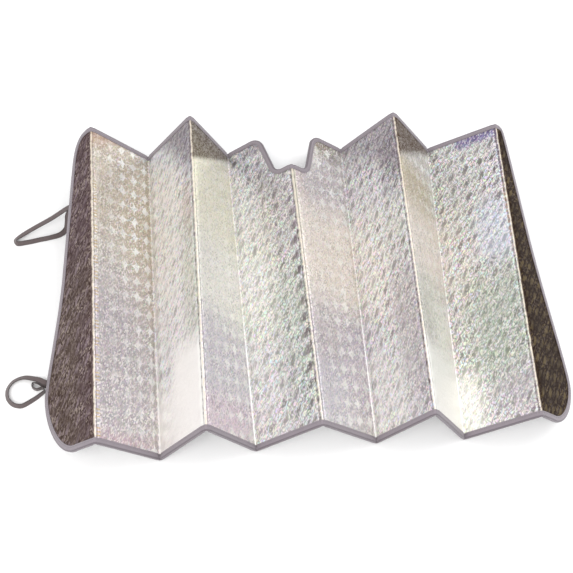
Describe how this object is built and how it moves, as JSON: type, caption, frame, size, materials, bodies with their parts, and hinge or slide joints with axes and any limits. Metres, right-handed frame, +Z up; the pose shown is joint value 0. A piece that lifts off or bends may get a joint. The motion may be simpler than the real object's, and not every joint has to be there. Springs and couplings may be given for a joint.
{
  "type": "windscreen sunshade",
  "caption": "Folding car windscreen sunshade of silver holographic film on bubble film, with grey taped edges, a mirror notch and elastic loops on its left edge.",
  "frame": {"origin": "on the surface that the part-folded shade lies on, under the middle of its box", "axes": "+X across the panels from the end with the loops to the other end, +Y along the creases to the edge with the mirror notch, +Z up, out of the surface"},
  "size_m": [0.9808, 0.6236, 0.1286],
  "materials": {
    "foil": "silver holographic film on bubble film, satin mirror with soft pastel tints",
    "tape": "close woven grey edging tape",
    "elastic": "woven dark grey-brown elastic ribbon"
  },
  "bodies": {
    "root": {"foil_sheet": "foil", "edge_binding": "tape", "upper_strap": "elastic", "lower_strap": "elastic"}
  },
  "joints": []
}
